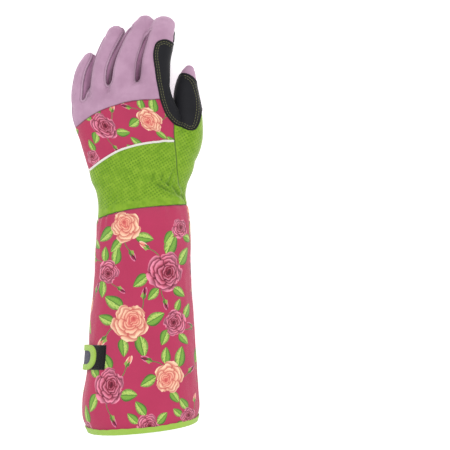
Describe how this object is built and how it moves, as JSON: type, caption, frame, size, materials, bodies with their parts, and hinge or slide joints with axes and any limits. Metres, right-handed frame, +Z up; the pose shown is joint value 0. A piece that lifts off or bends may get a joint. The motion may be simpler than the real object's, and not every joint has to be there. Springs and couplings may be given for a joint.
{
  "type": "rose pruning gauntlet",
  "caption": "Long-cuffed pruning gauntlet for the left hand: leather fingers and palm, a printed back, a knit wrist and a flared cuff with a bound hem and a closing strap.",
  "frame": {"origin": "middle of the bounding box at its base: the glove lies palm down on the plane z = 0", "axes": "+Y runs from the open hem to the fingertips, +X to the thumb side, and +Z up out of the back of the hand"},
  "size_m": [0.1282, 0.4106, 0.0679],
  "materials": {
    "lilac_leather": "suede-like synthetic leather, matt",
    "shaded_leather": "darker side strips of the same leather",
    "black_leather": "black synthetic leather reinforcement, satin",
    "rose_cotton": "printed cotton, all-over rose print on a magenta ground",
    "white_piping": "off-white woven piping",
    "green_mesh": "stretch knit mesh, leaf green",
    "lime_tape": "woven binding tape, lime",
    "navy_web": "navy webbing",
    "hook_tape": "black hook-and-loop tape, fuzzy"
  },
  "bodies": {
    "root": {"finger_backs": "lilac_leather", "fourchette_little_ring": "shaded_leather", "fourchette_ring_middle": "shaded_leather", "fourchette_middle_index": "shaded_leather", "index_tip_pad": "black_leather", "knuckle_panel": "rose_cotton", "piping": "white_piping", "wrist_back": "green_mesh", "thumb_gusset": "green_mesh", "thumb": "lilac_leather", "crotch_patch": "black_leather", "palm": "lilac_leather", "cuff": "rose_cotton", "hem_binding": "lime_tape", "loop_patch": "hook_tape", "strap": "navy_web", "strap_binding": "lime_tape"}
  },
  "joints": []
}
